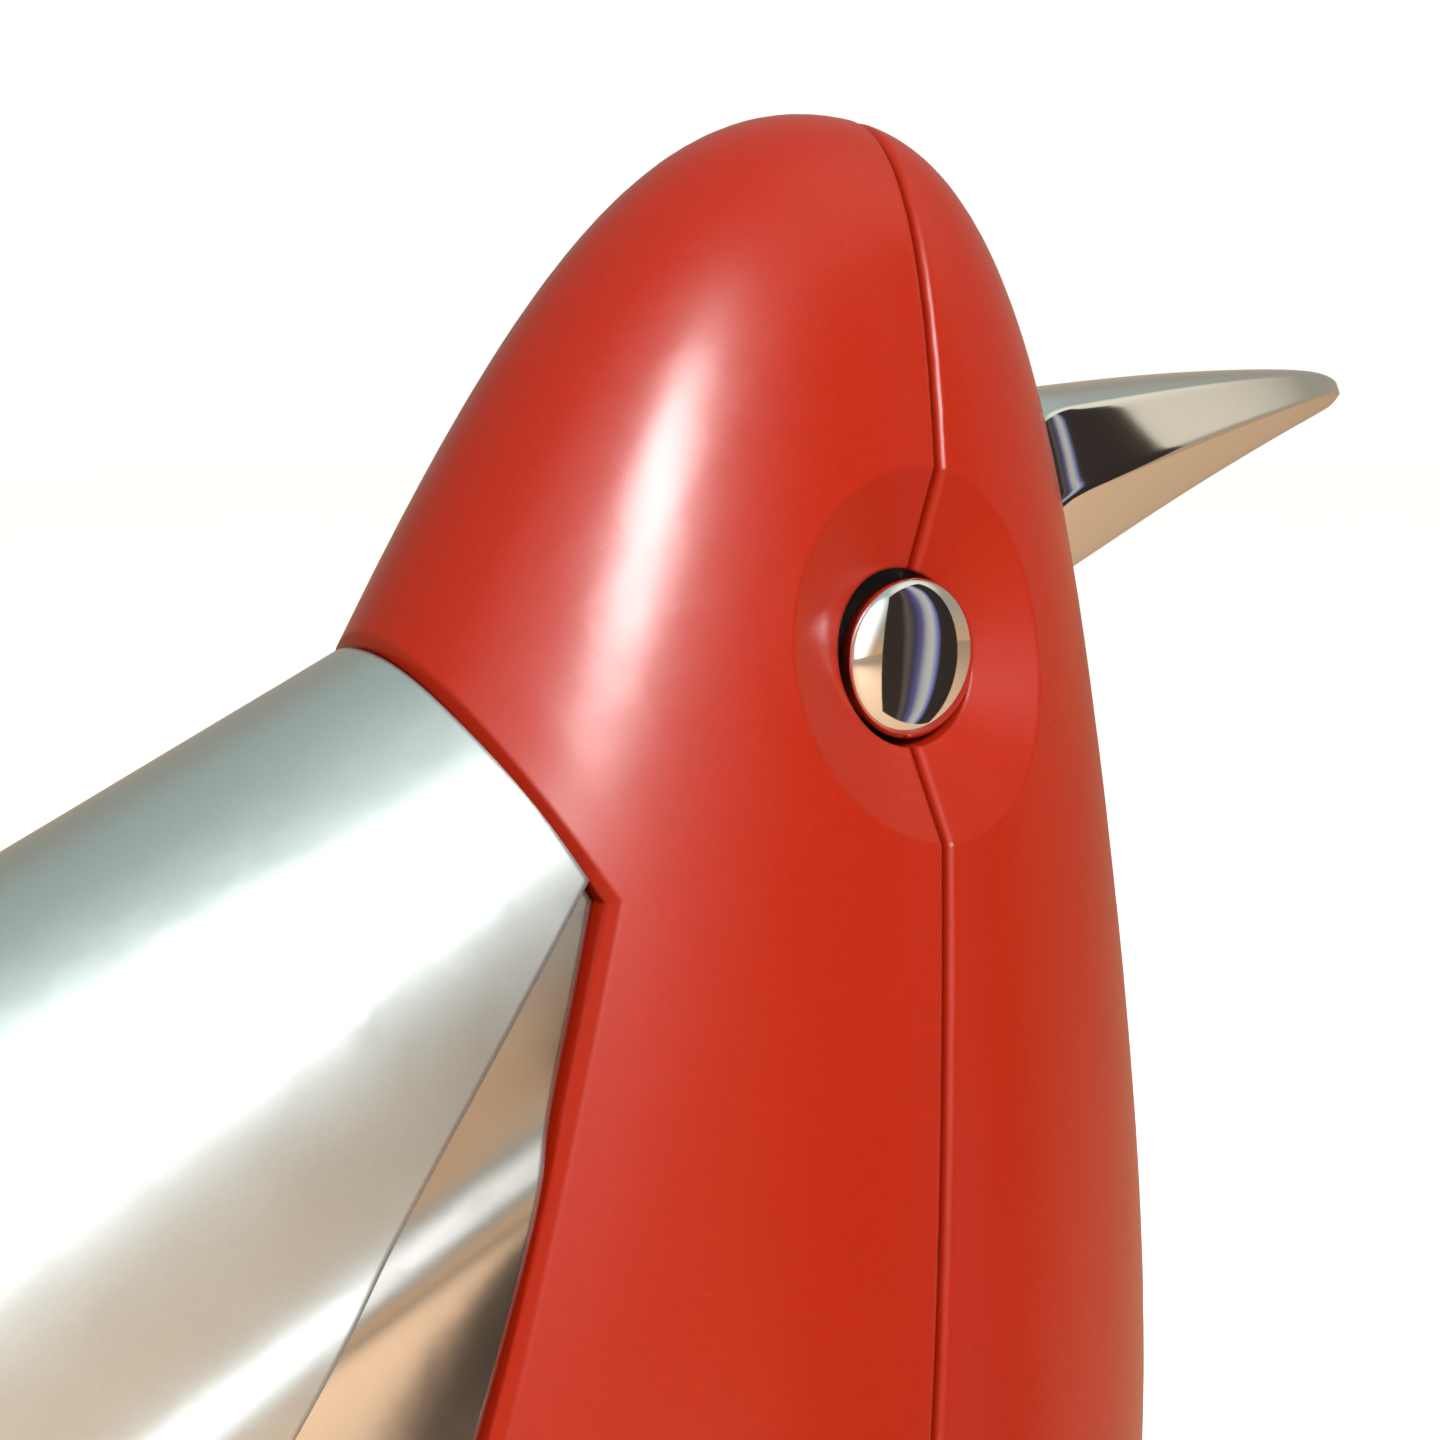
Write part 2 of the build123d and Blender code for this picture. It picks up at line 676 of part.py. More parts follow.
def make_bush():
    inner = leg_inner_y - bush_flange_thickness
    bush = rod((0, leg_inner_y, pivot_height), (0, 1, 0), leg_thickness, bush_radius)
    bush += rod((0, inner, pivot_height), (0, 1, 0), bush_flange_thickness, bush_flange_radius)
    return bush - rod((0, inner, pivot_height), (0, 1, 0), 2 * leg_thickness, axle_radius + axle_fit)


def make_cap():
    cap = rod((0, leg_outer_y, pivot_height), (0, 1, 0), cap_height, cap_radius)
    cap = fillet(cap.faces().sort_by(Axis.Y)[-1].edges(), cap_height - cap_hollow_depth - 0.2)
    return cap - rod((0, leg_outer_y, pivot_height), (0, 1, 0), cap_hollow_depth, cap_hollow_radius)


leg_middle_y = leg_inner_y + leg_thickness / 2
left_leg = make_leg()
left_bush = make_bush()
left_cap = make_cap()
pin_tip_y = half_width_at(pivot_depth) + collar_body_gap + 0.4
pin_z = pivot_height - stop_pin_orbit
stop_pin = rod((0, -leg_outer_y + 1, pin_z), (0, 1, 0), leg_outer_y - 1 - pin_tip_y, stop_pin_radius)
right_leg = mirror(left_leg, Plane.XZ) - stop_pin
leg_screw_seat = base_height - base_top
leg_screw_sizes = (leg_screw_length, leg_screw_radius, leg_screw_head_radius, leg_screw_head_height)
leg_screws = [
    screw((x, y, leg_screw_seat), (0, 0, 1), *leg_screw_sizes)
    for x in (-leg_screw_offset, leg_screw_offset)
    for y in (-leg_middle_y, leg_middle_y)
]


# Base: housing, trim ring, bottom plate, ballast and pad
tray_half_width = 2 * cell_radius + cell_gap / 2 + tray_play + tray_wall
tray_height = 2 * cell_radius + tray_play + tray_wall
tray_top = tray_floor_height + tray_height
tray_end_x = -base_half_length + tray_face_thickness + contact_thickness + contact_spring
cell_back_x = tray_end_x
cell_front_x = cell_back_x + cell_length + cell_cap_height
tray_front_x = cell_front_x + contact_thickness + tray_wall
under_top = base_height - base_top
plate_top = pad_thickness + cover_plate_thickness
ballast_top = plate_top + ballast_thickness
board_spot_xs = (board_back_x + board_spot_inset, board_front_x - board_spot_inset)
board_spot_y = board_half_width - board_spot_inset
board_spots = [(x, y) for x in board_spot_xs for y in (-board_spot_y, board_spot_y)]
base_spots = [(x, y) for x in (-base_boss_x, base_boss_x) for y in (-base_boss_y, base_boss_y)]


def tray_space(play):
    # the tunnel that the tray slides in, open through the back of the housing
    width = tray_half_width + play
    levels = (tray_floor_height - play, tray_top + play)
    return block((-base_half_length - 5, tray_front_x + play), (-width, width), levels)


def make_housing():
    solid = ellipse_prism(0, pad_thickness, base_height)
    solid = fillet(solid.edges().group_by(Axis.Z)[-1], base_edge_round)
    hollow = ellipse_prism(base_wall, pad_thickness - 1, under_top)
    housing = solid - hollow
    housing -= ellipse_prism(-5, pad_thickness, pad_thickness + trim_height) - ellipse_prism(
        trim_thickness - trim_proud, pad_thickness, pad_thickness + trim_height
    )
    for x, y in base_spots:
        housing += rod((x, y, ballast_top), (0, 0, 1), under_top - ballast_top + 1, base_boss_radius)
        housing -= rod((x, y, ballast_top - 1), (0, 0, 1), screw_length, screw_radius + screw_fit)
    for x, y in board_spots:
        post_low = board_height + board_thickness
        housing += rod((x, y, post_low), (0, 0, 1), under_top - board_height, board_post_radius)
        housing -= rod((x, y, board_height), (0, 0, 1), screw_length, screw_radius + screw_fit)
    pocket_x = leg_foot_half_length + base_fit
    pocket_y = leg_thickness / 2 + base_fit
    pocket_levels = (base_height - leg_pocket, base_height + 1)
    for y in (-leg_middle_y, leg_middle_y):
        housing -= block((-pocket_x, pocket_x), (y - pocket_y, y + pocket_y), pocket_levels)
        for x in (-leg_screw_offset, leg_screw_offset):
            housing -= rod((x, y, under_top - 1), (0, 0, 1), base_top + 2, leg_screw_radius + screw_fit)
    slot_x = switch_knob_length / 2 + switch_play
    slot_y = (switch_knob_width + switch_travel) / 2 + switch_play
    slot_levels = (under_top - 1, base_height + 1)
    housing -= block((switch_x - slot_x, switch_x + slot_x), (-slot_y, slot_y), slot_levels)
    return housing - tray_space(tray_play)


def make_trim():
    ring = ellipse_prism(-trim_proud, pad_thickness + 0.4, pad_thickness + trim_height)
    return ring - ellipse_prism(trim_thickness - trim_proud, pad_thickness, pad_thickness + trim_height)


def make_bottom_plates():
    plate = ellipse_prism(base_wall + base_fit, pad_thickness, plate_top)
    ballast = ellipse_prism(ballast_inset, plate_top, ballast_top)
    for x, y in base_spots:
        plate -= rod((x, y, 0), (0, 0, 1), pad_thickness + screw_head_sink, screw_head_radius + base_fit)
        ballast -= rod((x, y, 0), (0, 0, 1), base_height, base_boss_radius + base_fit)
        plate += rod((x, y, plate_top), (0, 0, 1), ballast_thickness, base_boss_radius)
        plate -= rod((x, y, 0), (0, 0, 1), base_height, screw_radius + screw_fit)
    return plate, ballast


base_housing = make_housing()
trim_ring = make_trim()
bottom_plate, ballast_plate = make_bottom_plates()
base_pad = ellipse_prism(pad_inset, 0, pad_thickness)
for spot in base_spots:
    base_pad -= rod((*spot, 0), (0, 0, 1), base_height, screw_head_radius + screw_head_room)
base_screws = [
    small_screw((x, y, pad_thickness + screw_head_sink), (0, 0, 1), base_screw_length) for x, y in base_spots
]


# Battery tray that slides out of the back, its two cells and their contacts
def make_tray():
    shell = ellipse_prism(0, tray_floor_height, tray_top) & block(
        (-base_half_length - 1, tray_front_x), (-tray_half_width, tray_half_width), (0, tray_top)
    )
    room = block(
        (-base_half_length + tray_face_thickness, tray_front_x - tray_wall),
        (-tray_half_width + tray_wall, tray_half_width - tray_wall),
        (tray_floor_height + tray_wall, tray_top + 1),
    )
    pull = block(
        (-base_half_length - 1, -base_half_length + tray_pull_depth),
        (-tray_pull_half_width, tray_pull_half_width),
        (tray_floor_height - 1, tray_floor_height + tray_pull_height),
    )
    return shell - room - pull


cell_z = tray_floor_height + tray_wall + tray_play / 2 + cell_radius
cell_ys = (-cell_radius - cell_gap / 2, cell_radius + cell_gap / 2)
battery_tray = make_tray()
cells = [
    rod((cell_back_x, y, cell_z), (1, 0, 0), cell_length, cell_radius)
    + rod((cell_back_x + cell_length, y, cell_z), (1, 0, 0), cell_cap_height, cell_cap_radius)
    for y in cell_ys
]
contact_half = cell_radius - 0.8
contacts = []
for y in cell_ys:
    levels = (cell_z - contact_half, cell_z + contact_half)
    sides = (y - contact_half, y + contact_half)
    back = tray_end_x - contact_spring
    contacts.append(block((cell_front_x, cell_front_x + contact_thickness), sides, levels))
    contacts.append(
        block((back - contact_thickness, back), sides, levels)
        + rod((back, y, cell_z), (1, 0, 0), contact_spring, cell_cap_radius)
    )


# Drive coil under the bird, its board and the switch
def make_coil():
    height = under_top - bobbin_bottom_height
    bobbin = rod((coil_x, 0, bobbin_bottom_height), (0, 0, 1), height, core_radius + bobbin_wall)
    for z in (bobbin_bottom_height, under_top - bobbin_flange):
        bobbin += rod((coil_x, 0, z), (0, 0, 1), bobbin_flange, bobbin_radius)
    bobbin -= rod((coil_x, 0, 0), (0, 0, 1), base_height, core_radius)
    winding_low = bobbin_bottom_height + bobbin_flange + winding_gap
    winding_height = height - 2 * bobbin_flange - 2 * winding_gap
    winding = rod((coil_x, 0, winding_low), (0, 0, 1), winding_height, winding_radius)
    winding -= rod((coil_x, 0, 0), (0, 0, 1), base_height, core_radius + bobbin_wall)
    core = rod((coil_x, 0, ballast_top), (0, 0, 1), under_top - ballast_top, core_radius)
    return bobbin, winding, core


def standing(x, y, z, size):
    # a box of three sizes standing on a point
    return Location((x, y, z + size[2] / 2)) * Box(*size)


def make_board():
    top = board_height + board_thickness
    board = block((board_back_x, board_front_x), (-board_half_width, board_half_width), (board_height, top))
    for x, y in board_spots:
        board -= rod((x, y, 0), (0, 0, 1), base_height, screw_radius + screw_fit)
    parts = [
        standing(chip_x, -5.5, top, chip_size),
        rod((chip_x, 5, top), (0, 0, 1), can_height, can_radius),
        rod((chip_x + 6, -11, top + resistor_radius), (0, 1, 0), resistor_length, resistor_radius),
        standing(chip_x + 7, 10.5, top, film_size),
    ]
    return board, parts


def make_switch():
    low = board_height + board_thickness
    high = under_top - switch_top_gap
    well = high - switch_well_depth
    body = standing(switch_x, 0, low, (switch_body_length, switch_body_width, high - low))
    room_y = switch_knob_width + switch_travel + 2 * switch_play
    stem_x = switch_knob_length - 2 * switch_stem_step
    body -= standing(switch_x, 0, well, (stem_x + 2 * switch_play, room_y, switch_well_depth))
    knob_y = -switch_travel / 2
    cap_low = high + switch_top_gap / 6
    rise = base_height + switch_knob_proud - cap_low
    knob = standing(switch_x, knob_y, cap_low, (switch_knob_length, switch_knob_width, rise))
    stem_low = well + switch_play
    knob += standing(switch_x, knob_y, stem_low, (stem_x, switch_knob_width, cap_low - stem_low))
    return body, knob


coil_bobbin, coil_winding, coil_core = make_coil()
circuit_board, board_parts = make_board()
switch_body, switch_knob = make_switch()
board_screws = [small_screw((x, y, board_height), (0, 0, 1), screw_length - 1) for x, y in board_spots]


# Nodes
bird_nodes = {
    "front_shell": front_shell,
    "rear_shell": rear_shell,
    "beak": beak,
    "inner_frame": inner_frame,
    "wing_cover": wing_cover,
    "tail_core": tail_core,
    "eye_button_left": eye_button_left,
    "eye_button_right": eye_button_right,
    "eye_cup_left": eye_cup_left,
    "eye_cup_right": eye_cup_right,
    "eye_tie_rod": tie_rod,
    "frame_screws": frame_screws,
    "rear_shell_screws": shell_screws,
    "tail_screws": tail_screws,
    "wing_cover_screws": cover_screws,
    "beak_screws": beak_screws,
    "bob_screws": bob_screws,
    "bob_weight": bob_weight,
    "drive_magnet": drive_magnet,
    "axle": axle,
    "plain_collar": plain_collar,
    "stop_collar": stop_collar,
}
stand_nodes = {
    "left_leg": left_leg,
    "right_leg": right_leg,
    "left_bush": left_bush,
    "right_bush": mirror(left_bush, Plane.XZ),
    "left_axle_cap": left_cap,
    "right_axle_cap": mirror(left_cap, Plane.XZ),
    "stop_pin": stop_pin,
    "leg_screws": leg_screws,
    "base_housing": base_housing,
    "trim_ring": trim_ring,
    "bottom_plate": bottom_plate,
    "ballast_plate": ballast_plate,
    "base_pad": base_pad,
    "base_screws": base_screws,
    "battery_tray": battery_tray,
    "battery_cells": cells,
    "battery_contacts": contacts,
    "coil_bobbin": coil_bobbin,
    "coil_winding": coil_winding,
    "coil_core": coil_core,
    "circuit_board": circuit_board,
    "board_parts": board_parts,
    "board_screws": board_screws,
    "switch_body": switch_body,
    "switch_knob": switch_knob,
}


def write_node(name, shape, place=None):
    solids = []
    for item in shape if isinstance(shape, list) else [shape]:
        solids += item.solids()
    if place is not None:
        solids = [place * solid for solid in solids]
    export_step(solids[0] if len(solids) == 1 else Compound(children=solids), f"parts/{name}.step")


for name, shape in bird_nodes.items():
    write_node(name, shape, pivot)
for name, shape in stand_nodes.items():
    write_node(name, shape)
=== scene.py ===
import json
import bpy
from math import cos, radians, sin
from mathutils import Matrix, Vector


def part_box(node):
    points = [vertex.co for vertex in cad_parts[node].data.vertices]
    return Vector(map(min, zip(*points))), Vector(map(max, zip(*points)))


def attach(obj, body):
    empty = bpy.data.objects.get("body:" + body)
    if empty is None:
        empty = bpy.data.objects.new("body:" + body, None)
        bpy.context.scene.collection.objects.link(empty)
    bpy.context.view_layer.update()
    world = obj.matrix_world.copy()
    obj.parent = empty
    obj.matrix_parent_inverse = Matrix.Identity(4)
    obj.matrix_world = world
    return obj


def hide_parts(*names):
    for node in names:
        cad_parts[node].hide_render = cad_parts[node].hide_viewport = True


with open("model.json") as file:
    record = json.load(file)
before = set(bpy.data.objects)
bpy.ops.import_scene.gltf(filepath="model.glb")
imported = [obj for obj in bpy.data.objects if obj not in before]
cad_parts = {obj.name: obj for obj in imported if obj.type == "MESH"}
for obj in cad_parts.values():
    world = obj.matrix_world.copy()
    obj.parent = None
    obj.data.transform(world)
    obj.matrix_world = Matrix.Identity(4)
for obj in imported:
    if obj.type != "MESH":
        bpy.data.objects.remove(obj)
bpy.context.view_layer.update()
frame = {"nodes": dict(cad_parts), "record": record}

mm = 0.001


# ---- helpers for the materials

def newMaterial(name, color, roughness, metallic=0.0, coat=0.0, coatRoughness=0.1):
    mat = bpy.data.materials.new(name)
    mat.use_nodes = True
    shader = mat.node_tree.nodes["Principled BSDF"]
    shader.inputs["Base Color"].default_value = (*color, 1)
    shader.inputs["Roughness"].default_value = roughness
    shader.inputs["Metallic"].default_value = metallic
    shader.inputs["Coat Weight"].default_value = coat
    shader.inputs["Coat Roughness"].default_value = coatRoughness
    return mat, shader


def addNode(mat, kind, **values):
    node = mat.node_tree.nodes.new(kind)
    for key, value in values.items():
        if hasattr(node, key):
            setattr(node, key, value)
        else:
            node.inputs[key.replace("_", " ")].default_value = value
    return node


def join(mat, outSocket, inSocket):
    mat.node_tree.links.new(outSocket, inSocket)


def makeGrainGroup():
    # speckle and long soft blotches, used by every finish at its own scale
    group = bpy.data.node_groups.new("finishGrain", "ShaderNodeTree")
    face = group.interface
    face.new_socket("Grain Scale", in_out="INPUT", socket_type="NodeSocketFloat")
    face.new_socket("Blotch Scale", in_out="INPUT", socket_type="NodeSocketFloat")
    face.new_socket("Low", in_out="INPUT", socket_type="NodeSocketFloat")
    face.new_socket("High", in_out="INPUT", socket_type="NodeSocketFloat")
    face.new_socket("Value", in_out="OUTPUT", socket_type="NodeSocketFloat")
    face.new_socket("Grain", in_out="OUTPUT", socket_type="NodeSocketFloat")
    nodes = group.nodes
    links = group.links
    start = nodes.new("NodeGroupInput")
    end = nodes.new("NodeGroupOutput")
    place = nodes.new("ShaderNodeTexCoord")
    fine = nodes.new("ShaderNodeTexNoise")
    fine.inputs["Detail"].default_value = 3
    blotch = nodes.new("ShaderNodeTexNoise")
    blotch.inputs["Detail"].default_value = 4
    spread = nodes.new("ShaderNodeMapRange")
    spread.interpolation_type = "SMOOTHSTEP"
    spread.inputs["From Min"].default_value = 0.15
    spread.inputs["From Max"].default_value = 0.85
    links.new(place.outputs["Object"], fine.inputs["Vector"])
    links.new(place.outputs["Object"], blotch.inputs["Vector"])
    links.new(start.outputs["Grain Scale"], fine.inputs["Scale"])
    links.new(start.outputs["Blotch Scale"], blotch.inputs["Scale"])
    links.new(blotch.outputs["Fac"], spread.inputs["Value"])
    links.new(start.outputs["Low"], spread.inputs["To Min"])
    links.new(start.outputs["High"], spread.inputs["To Max"])
    links.new(spread.outputs["Result"], end.inputs["Value"])
    links.new(fine.outputs["Fac"], end.inputs["Grain"])
    return group


grainGroup = makeGrainGroup()


def addGrain(mat, grainScale, blotchScale, low, high):
    node = mat.node_tree.nodes.new("ShaderNodeGroup")
    node.node_tree = grainGroup
    node.inputs["Grain Scale"].default_value = grainScale
    node.inputs["Blotch Scale"].default_value = blotchScale
    node.inputs["Low"].default_value = low
    node.inputs["High"].default_value = high
    return node


def finishMaterial(
    name, color, darkColor, roughness, metallic=0.0, coat=0.0, grainScale=3000, blotchScale=60,
    grainDepth=0.01 * mm, roundEdge=0.0, coatRoughness=0.1, shine=0.5,
):
    # a painted, plated or moulded finish: colour and gloss drift a little, with a fine grain and soft edges
    mat, shader = newMaterial(name, color, roughness[0], metallic, coat, coatRoughness)
    shader.inputs["Specular IOR Level"].default_value = shine
    grain = addGrain(mat, grainScale, blotchScale, roughness[0], roughness[1])
    join(mat, grain.outputs["Value"], shader.inputs["Roughness"])
    mix = addNode(mat, "ShaderNodeMix", data_type="RGBA")
    mix.inputs[6].default_value = (*color, 1)
    mix.inputs[7].default_value = (*darkColor, 1)
    join(mat, grain.outputs["Grain"], mix.inputs[0])
    join(mat, mix.outputs[2], shader.inputs["Base Color"])
    bump = addNode(mat, "ShaderNodeBump", Strength=0.25)
    bump.inputs["Distance"].default_value = grainDepth
    join(mat, grain.outputs["Grain"], bump.inputs["Height"])
    if roundEdge:
        edge = addNode(mat, "ShaderNodeBevel", samples=6)
        edge.inputs["Radius"].default_value = roundEdge
        join(mat, edge.outputs["Normal"], bump.inputs["Normal"])
    join(mat, bump.outputs["Normal"], shader.inputs["Normal"])
    return mat


finishes = {
    "red_shell": finishMaterial("redLacquer", (0.33, 0.015, 0.003), (0.28, 0.012, 0.0025), (0.24, 0.30),
                                grainScale=2600, grainDepth=0.006 * mm, roundEdge=0.35 * mm, shine=0.36),
    "silver_cover": finishMaterial("satinSilver", (0.66, 0.70, 0.69), (0.60, 0.64, 0.63), (0.27, 0.34), 1.0,
                                   grainScale=4200, grainDepth=0.003 * mm, roundEdge=0.35 * mm),
    "tail_chrome": finishMaterial("tailChrome", (0.80, 0.79, 0.77), (0.76, 0.75, 0.73), (0.09, 0.16), 1.0,
                                  grainScale=900, grainDepth=0.004 * mm, roundEdge=0.4 * mm),
    "beak_chrome": finishMaterial("beakChrome", (0.80, 0.79, 0.76), (0.77, 0.76, 0.73), (0.05, 0.10), 1.0,
                                  grainScale=900, grainDepth=0.003 * mm),
    "button_chrome": finishMaterial("buttonChrome", (0.84, 0.84, 0.83), (0.80, 0.80, 0.79), (0.03, 0.07), 1.0,
                                    grainScale=900, grainDepth=0.002 * mm),
    "stand_chrome": finishMaterial("standChrome", (0.82, 0.82, 0.82), (0.78, 0.78, 0.78), (0.06, 0.13), 1.0,
                                   grainScale=900, grainDepth=0.003 * mm, roundEdge=0.4 * mm),
    "black_plastic": finishMaterial("blackPlastic", (0.022, 0.022, 0.024), (0.015, 0.015, 0.016), (0.45, 0.6),
                                    grainScale=5000, grainDepth=0.03 * mm),
    "base_black": finishMaterial("baseGloss", (0.014, 0.014, 0.016), (0.010, 0.010, 0.012), (0.16, 0.24),
                                 coat=0.3, coatRoughness=0.05, grainScale=1800, roundEdge=0.3 * mm),
    "steel": finishMaterial("plainSteel", (0.58, 0.58, 0.59), (0.48, 0.48, 0.49), (0.25, 0.4), 1.0),
    "weight_iron": finishMaterial("castIron", (0.16, 0.16, 0.165), (0.09, 0.09, 0.095), (0.55, 0.75), 0.7,
                                  grainScale=1500, grainDepth=0.1 * mm),
    "magnet_plate": finishMaterial("nickelPlate", (0.66, 0.65, 0.62), (0.6, 0.59, 0.56), (0.15, 0.25), 1.0),
    "bush_brass": finishMaterial("turnedBrass", (0.75, 0.52, 0.22), (0.66, 0.45, 0.18), (0.2, 0.35), 1.0),
    "pad_rubber": finishMaterial("padRubber", (0.028, 0.028, 0.03), (0.018, 0.018, 0.019), (0.75, 0.9),
                                 grainScale=6000, grainDepth=0.06 * mm),
    "copper": finishMaterial("copperWire", (0.72, 0.30, 0.12), (0.45, 0.17, 0.06), (0.2, 0.35), 1.0),
    "board_green": finishMaterial("boardLaminate", (0.02, 0.16, 0.06), (0.015, 0.11, 0.045), (0.3, 0.45)),
    "cell_wrap": finishMaterial("cellWrap", (0.10, 0.10, 0.11), (0.07, 0.07, 0.08), (0.25, 0.4)),
}

slotOf = {item["node"]: item["material_slot"] for item in frame["record"]["subparts"]}
for name, node in frame["nodes"].items():
    node.data.materials.clear()
    node.data.materials.append(finishes[slotOf[name]])
print("finishes on the nodes")


# ---- helpers for modelling

# where the bird hangs: its lean, the axle seen from its apex, and the axle's height over the table
bird = {"lean": 8.6, "pivotX": -4.5 * mm, "pivotDepth": 80 * mm, "pivotHeight": 77 * mm}


def birdPlace():
    # from the bird's own frame, apex at the origin, to the toy's frame
    lean = Matrix.Rotation(radians(bird["lean"]), 4, "Y")
    toPivot = Matrix.Translation((-bird["pivotX"], 0, bird["pivotDepth"]))
    return Matrix.Translation((0, 0, bird["pivotHeight"])) @ lean @ toPivot


def startPiece(name):
    # the new primitive is the active object
    obj = bpy.context.active_object
    obj.name = name
    return obj


def settle(obj, place):
    # puts a piece modelled in the bird's frame where it belongs, with its own origin left at zero
    bpy.ops.object.select_all(action="DESELECT")
    obj.select_set(True)
    bpy.context.view_layer.objects.active = obj
    obj.matrix_world = place
    bpy.ops.object.transform_apply(location=True, rotation=True, scale=True)


def addModifier(obj, kind, **values):
    modifier = obj.modifiers.new(kind.lower(), kind)
    for key, value in values.items():
        setattr(modifier, key, value)
    bpy.context.view_layer.objects.active = obj
    bpy.ops.object.modifier_apply(modifier=modifier.name)


def finishPiece(obj, body, slotName, *nodes):
    obj.data.materials.clear()
    obj.data.materials.append(finishes[slotName])
    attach(obj, body)
    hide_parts(*nodes)


# ---- beak

beakShape = {
    "start": (12.0, -14.2, 15.6, 6.3),  # X, top, height and half width at the root
    "steps": [  # the same four on the way to the tip
        (18.0, -12.7, 13.7, 6.1),
        (24.0, -11.3, 11.3, 5.6),
        (30.0, -10.0, 8.8, 4.9),
        (36.0, -8.9, 6.4, 4.0),
        (40.5, -8.2, 4.6, 3.05),
        (43.3, -7.95, 3.4, 2.15),
        (45.0, -8.15, 2.3, 1.5),
        (45.8, -8.6, 1.4, 0.9),
    ],
    # one side of a cut across it, from crown to keel, as shares of the half width and the height
    "section": [(0.0, 0.0), (0.46, 0.008), (0.68, 0.08), (1.0, 0.44), (0.60, 0.82), (0.22, 0.98), (0.0, 1.0)],
    "ridgePoint": 2,
    "sidePoint": 3,
    "ridgeCrease": 0.7,
    "sideCrease": 0.55,
}


def makeBeak():
    x, top, height, half = (value * mm for value in beakShape["start"])
    bpy.ops.object.select_all(action="DESELECT")
    section = beakShape["section"]
    ring = section + [(-side, drop) for side, drop in reversed(section[1:-1])]
    bpy.ops.mesh.primitive_circle_add(vertices=len(ring), radius=1, fill_type="NGON")
    obj = startPiece("beakCast")
    # the ring of the root section: crown, ridges, sides and keel
    for vertex, (side, drop) in zip(obj.data.vertices, ring):
        vertex.co = (x, side * half, top - drop * height)
    bpy.ops.object.mode_set(mode="EDIT")
    bpy.ops.mesh.select_all(action="SELECT")
    bpy.ops.mesh.select_mode(type="FACE")
    for nextX, nextTop, nextHeight, nextHalf in beakShape["steps"]:
        nextX, nextTop, nextHeight, nextHalf = nextX * mm, nextTop * mm, nextHeight * mm, nextHalf * mm
        bpy.ops.mesh.extrude_region_move(TRANSFORM_OT_translate={"value": (nextX - x, 0, nextTop - top)})
        bpy.ops.transform.resize(
            value=(1, nextHalf / half, nextHeight / height), center_override=(nextX, 0, nextTop)
        )
        x, top, height, half = nextX, nextTop, nextHeight, nextHalf
    bpy.ops.mesh.select_all(action="SELECT")
    bpy.ops.mesh.normals_make_consistent(inside=False)
    bpy.ops.object.mode_set(mode="OBJECT")
    # the ridges and the widest lines stay tighter than the rest
    crease = obj.data.attributes.new("crease_edge", "FLOAT", "EDGE")
    count = len(ring)
    ridge, side = beakShape["ridgePoint"], beakShape["sidePoint"]
    for edge in obj.data.edges:
        first, second = edge.vertices
        if first % count != second % count:
            continue
        if first % count in (ridge, count - ridge):
            crease.data[edge.index].value = beakShape["ridgeCrease"]
        if first % count in (side, count - side):
            crease.data[edge.index].value = beakShape["sideCrease"]
    addModifier(obj, "SUBSURF", levels=4, render_levels=4)
    bpy.ops.object.shade_smooth()
    settle(obj, birdPlace())
    finishPiece(obj, "bird", "beak_chrome", "beak")


makeBeak()


# ---- eye buttons

buttonShape = {"radius": 4.37, "dome": 1.15, "skirt": 3.0}


def makeButton(side, node):
    low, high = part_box(node)
    rim = (high.y if side > 0 else -low.y) - buttonShape["dome"] * mm
    bpy.ops.object.select_all(action="DESELECT")
    bpy.ops.mesh.primitive_uv_sphere_add(segments=96, ring_count=48, radius=buttonShape["radius"] * mm)
    obj = startPiece("buttonDome")
    bpy.ops.object.mode_set(mode="EDIT")
    bpy.ops.mesh.select_all(action="SELECT")
    bpy.ops.transform.resize(value=(1, 1, buttonShape["dome"] / buttonShape["radius"]))
    # keep the outer half and draw its rim inwards as a skirt
    bpy.ops.mesh.bisect(plane_co=(0, 0, 0), plane_no=(0, 0, 1), clear_inner=True, use_fill=False)
    bpy.ops.mesh.select_mode(type="EDGE")
    bpy.ops.mesh.select_all(action="DESELECT")
    bpy.ops.mesh.select_non_manifold()
    bpy.ops.mesh.extrude_region_move(TRANSFORM_OT_translate={"value": (0, 0, -buttonShape["skirt"] * mm)})
    bpy.ops.mesh.edge_face_add()
    bpy.ops.mesh.select_all(action="SELECT")
    bpy.ops.mesh.normals_make_consistent(inside=False)
    bpy.ops.object.mode_set(mode="OBJECT")
    bpy.ops.object.shade_smooth()
    centre = (Vector(low) + Vector(high)) / 2
    turn = Matrix.Rotation(radians(-90 * side), 4, "X")
    settle(obj, Matrix.Translation((centre.x, side * rim, centre.z)) @ turn)
    finishPiece(obj, "bird", "button_chrome", node)


makeButton(1, "eye_button_left")
makeButton(-1, "eye_button_right")
print("beak and eye buttons")


# ---- camera

view = {
    "azimuth": -36.07,
    "elevation": 8.8,
    "distance": 134.8 * mm,
    "lens": 57.5,
    "aimRight": -3.26 * mm,
    "aimUp": -2.65 * mm,
    "aimPoint": Vector((11.60, 0, 123.59)) * mm,  # on the body's axis, level with the eye
}


